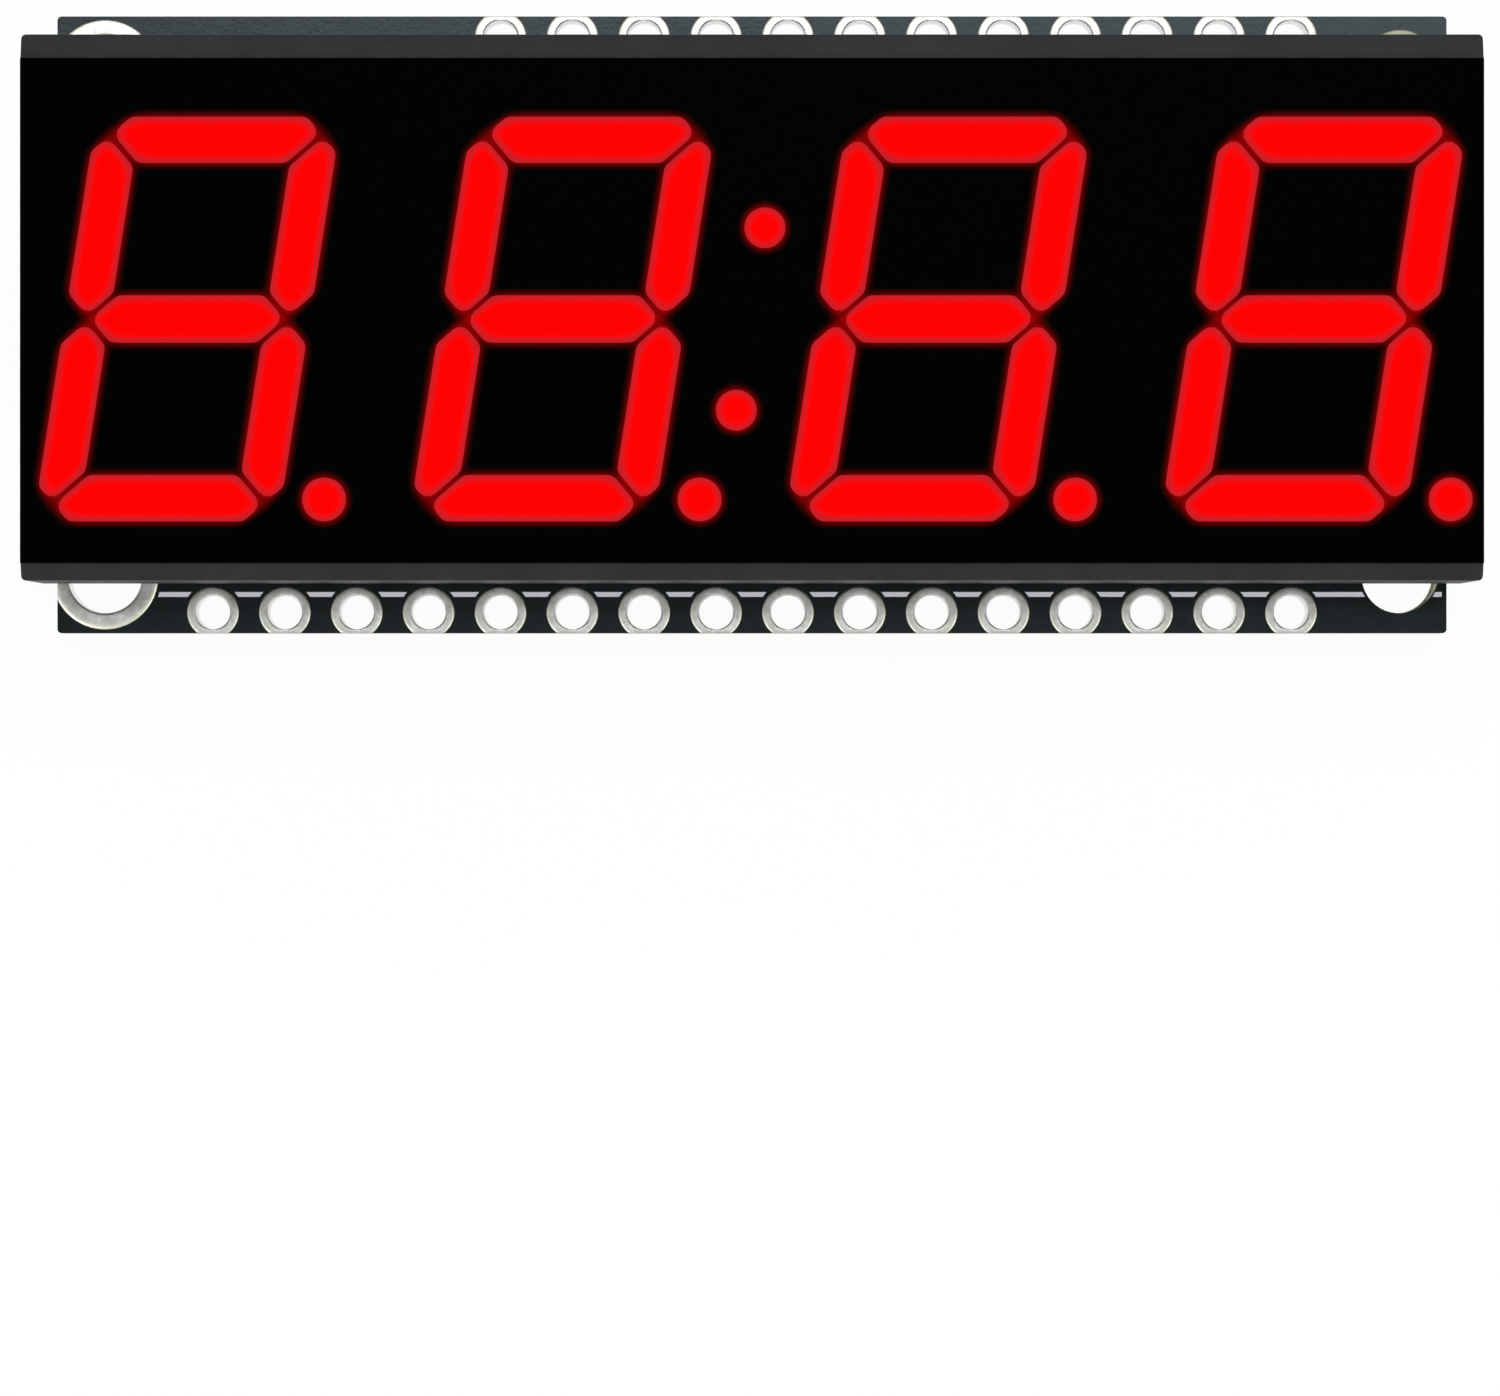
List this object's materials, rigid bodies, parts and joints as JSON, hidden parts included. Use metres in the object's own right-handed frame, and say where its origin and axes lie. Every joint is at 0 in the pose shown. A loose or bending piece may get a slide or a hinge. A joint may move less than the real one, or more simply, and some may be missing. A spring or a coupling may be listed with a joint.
{
  "type": "seven segment display module",
  "caption": "Lit red seven segment clock display with points and colon, soldered to a black driver board with header and mounting holes; chip and small parts behind.",
  "frame": {"origin": "under the middle of the module's outline, level with the driver chip's flat top, on which the module lies", "axes": "+X along the digits to the right, +Y up the digits, +Z out of the display's face"},
  "size_m": [0.0502, 0.0218, 0.0121],
  "materials": {
    "red_light": "lit red resin",
    "black_film": "matt black film",
    "charcoal_plastic": "fine moulded texture",
    "carrier_laminate": "bare laminate",
    "die_metal": "polished",
    "potting_resin": "poured resin",
    "tinned_leads": "tin plated",
    "black_board": "black solder mask",
    "tinned_pads": "tin plated",
    "solder": "bright solder",
    "chip_plastic": "moulded epoxy",
    "resistor_glaze": "glazed",
    "capacitor_ceramic": "fired ceramic",
    "end_caps": "tin plated",
    "white_print": "printed ink"
  },
  "bodies": {
    "root": {"digit_1_segment_a": "red_light", "digit_1_segment_b": "red_light", "digit_1_segment_c": "red_light", "digit_1_segment_d": "red_light", "digit_1_segment_e": "red_light", "digit_1_segment_f": "red_light", "digit_1_segment_g": "red_light", "digit_2_segment_a": "red_light", "digit_2_segment_b": "red_light", "digit_2_segment_c": "red_light", "digit_2_segment_d": "red_light", "digit_2_segment_e": "red_light", "digit_2_segment_f": "red_light", "digit_2_segment_g": "red_light", "digit_3_segment_a": "red_light", "digit_3_segment_b": "red_light", "digit_3_segment_c": "red_light", "digit_3_segment_d": "red_light", "digit_3_segment_e": "red_light", "digit_3_segment_f": "red_light", "digit_3_segment_g": "red_light", "digit_4_segment_a": "red_light", "digit_4_segment_b": "red_light", "digit_4_segment_c": "red_light", "digit_4_segment_d": "red_light", "digit_4_segment_e": "red_light", "digit_4_segment_f": "red_light", "digit_4_segment_g": "red_light", "digit_1_point": "red_light", "digit_2_point": "red_light", "digit_3_point": "red_light", "digit_4_point": "red_light", "colon_upper_dot": "red_light", "colon_lower_dot": "red_light", "face_film": "black_film", "display_housing": "charcoal_plastic", "led_carrier_board": "carrier_laminate", "led_dies": "die_metal", "potting_epoxy": "potting_resin", "display_leads": "tinned_leads", "circuit_board": "black_board", "long_row_pads": "tinned_pads", "short_row_pads": "tinned_pads", "mounting_hole_rings": "tinned_pads", "display_lead_pads": "tinned_pads", "display_lead_solder": "solder", "driver_chip_body": "chip_plastic", "driver_chip_leads": "tinned_leads", "driver_chip_pads": "tinned_pads", "resistor_bodies": "resistor_glaze", "resistor_end_caps": "end_caps", "capacitor_bodies": "capacitor_ceramic", "capacitor_end_caps": "end_caps", "diode_body": "chip_plastic", "diode_leads": "tinned_leads", "part_pads": "tinned_pads", "address_jumper_pads": "tinned_pads", "front_outline_print": "white_print", "back_print": "white_print"}
  },
  "joints": []
}
